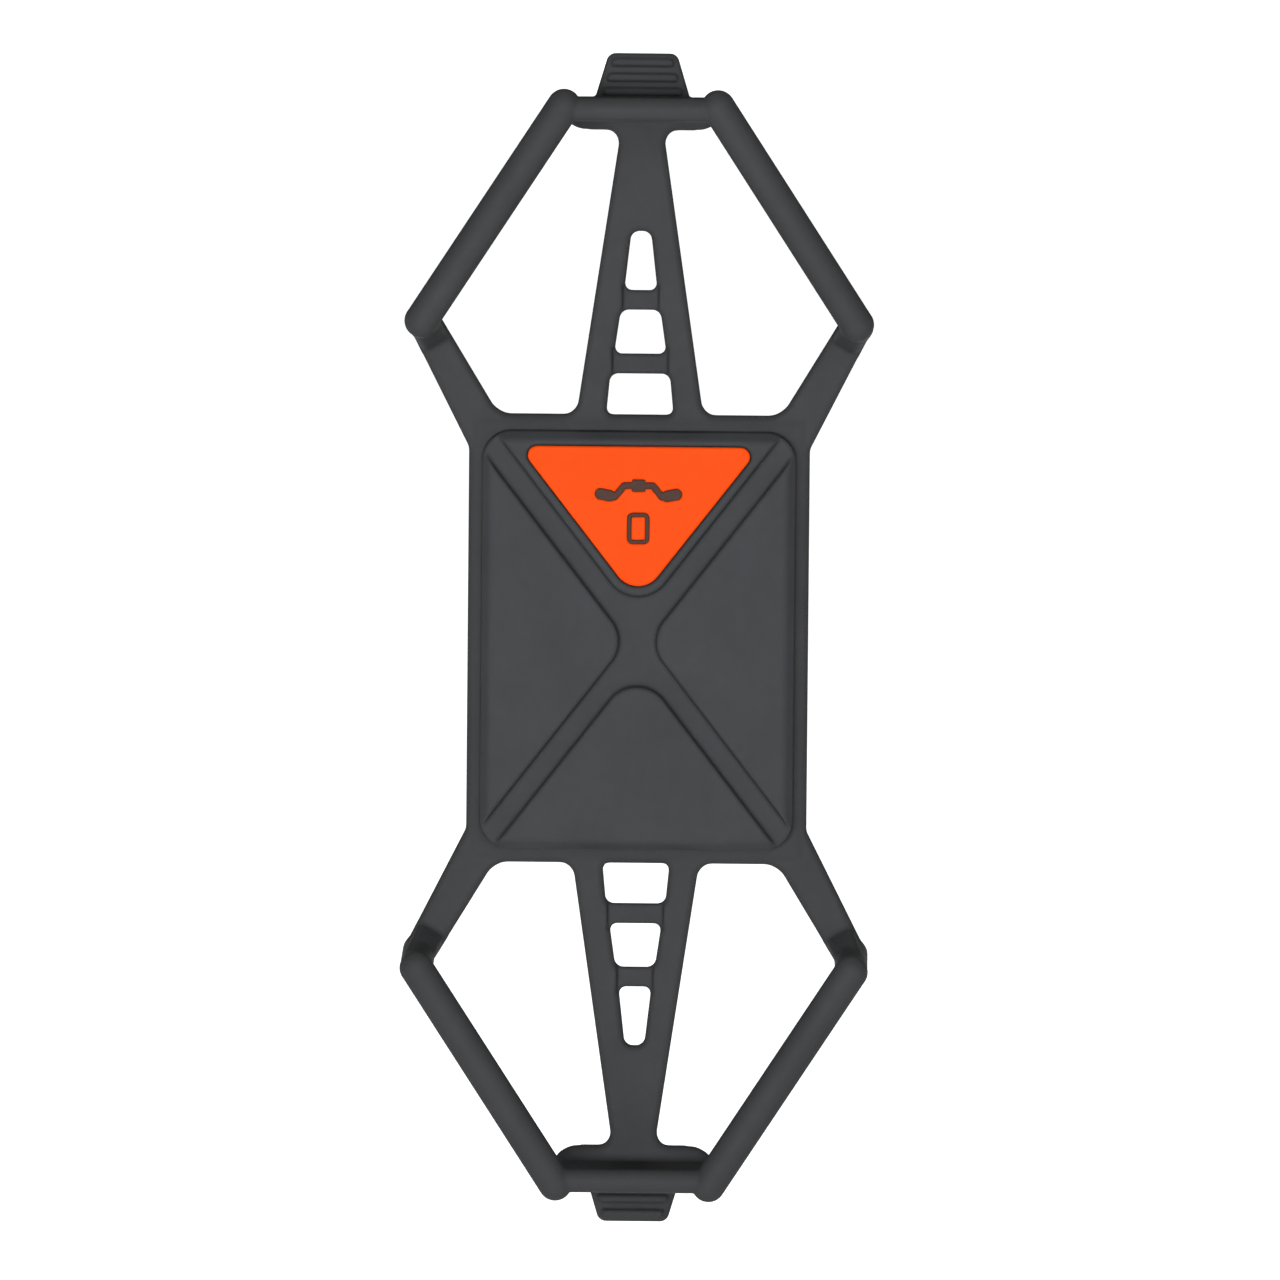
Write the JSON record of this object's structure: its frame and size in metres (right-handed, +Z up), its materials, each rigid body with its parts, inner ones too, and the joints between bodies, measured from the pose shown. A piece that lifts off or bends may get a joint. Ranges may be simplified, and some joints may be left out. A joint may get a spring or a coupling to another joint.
{
  "type": "phone handlebar mount",
  "caption": "Stretchy silicone harness that grips a phone by its ends and corners, on a swivelling base strapped to a handlebar.",
  "frame": {"origin": "on the handlebar's axis, midway along the part of the bar that the base holds", "axes": "+X along the handlebar to the rider's right as seen from the phone side, -Y towards the phone side, +Z up along the harness's length"},
  "size_m": [0.0654, 0.0622, 0.164],
  "materials": {
    "dark_silicone": "matte dark grey silicone, soft to the touch",
    "panel_rubber": "matte dark grey rubber, slightly lighter on the pads",
    "orange_plastic": "flat saturated orange, satin",
    "black_plastic": "moulded, finely textured, near-black",
    "black_rubber": "matt black rubber",
    "steel": "plain zinc-plated steel",
    "brass": "turned brass, hidden"
  },
  "bodies": {
    "bar_base": {"base_housing": "black_plastic", "saddle_pad": "black_rubber", "strap_band": "dark_silicone", "anchor_pin": "steel", "friction_ring": "black_rubber", "spring_washer": "steel"},
    "strap_tail": {"strap_tail": "dark_silicone"},
    "cradle": {"back_cover": "black_plastic", "threaded_insert": "brass", "pivot_bolt": "steel", "core_plate": "black_plastic", "cover_screw_1": "steel", "cover_screw_2": "steel", "cover_screw_3": "steel", "cover_screw_4": "steel", "harness_frame": "dark_silicone", "face_panel": "panel_rubber", "badge": "orange_plastic"},
    "upper_loop": {"upper_ladder_strap": "dark_silicone", "upper_left_side_strap": "dark_silicone", "upper_right_side_strap": "dark_silicone"},
    "upper_end": {"upper_neck_web": "dark_silicone", "upper_ledge": "dark_silicone", "upper_crossbar": "dark_silicone", "upper_pull_tab": "dark_silicone", "upper_left_post": "dark_silicone", "upper_right_post": "dark_silicone", "upper_left_tube": "dark_silicone", "upper_right_tube": "dark_silicone"},
    "lower_loop": {"lower_ladder_strap": "dark_silicone", "lower_left_side_strap": "dark_silicone", "lower_right_side_strap": "dark_silicone"},
    "lower_end": {"lower_neck_web": "dark_silicone", "lower_ledge": "dark_silicone", "lower_crossbar": "dark_silicone", "lower_pull_tab": "dark_silicone", "lower_left_post": "dark_silicone", "lower_right_post": "dark_silicone", "lower_left_tube": "dark_silicone", "lower_right_tube": "dark_silicone"}
  },
  "joints": [
    {"name": "swivel", "type": "hinge", "parent": "bar_base", "child": "cradle", "pos_m": [0, 0, 0], "axis": [0, -1, 0], "continuous": true},
    {"name": "tail_lift", "type": "hinge", "parent": "bar_base", "child": "strap_tail", "pos_m": [0, -0.0016, -0.0126], "axis": [1, 0, 0], "range_deg": [0, 100], "stiffness_Nm_per_rad": 0.01},
    {"name": "upper_peel", "type": "hinge", "parent": "cradle", "child": "upper_loop", "pos_m": [0, -0.0322, 0.0332], "axis": [-1, 0, 0], "range_deg": [-30, 75], "stiffness_Nm_per_rad": 0.05},
    {"name": "upper_stretch", "type": "slide", "parent": "upper_loop", "child": "upper_end", "axis": [0, 0, 1], "range_m": [0, 0.008], "stiffness_N_per_m": 1500},
    {"name": "lower_peel", "type": "hinge", "parent": "cradle", "child": "lower_loop", "pos_m": [0, -0.0322, -0.0332], "axis": [1, 0, 0], "range_deg": [-30, 75], "stiffness_Nm_per_rad": 0.05},
    {"name": "lower_stretch", "type": "slide", "parent": "lower_loop", "child": "lower_end", "axis": [0, 0, -1], "range_m": [0, 0.008], "stiffness_N_per_m": 1500}
  ]
}
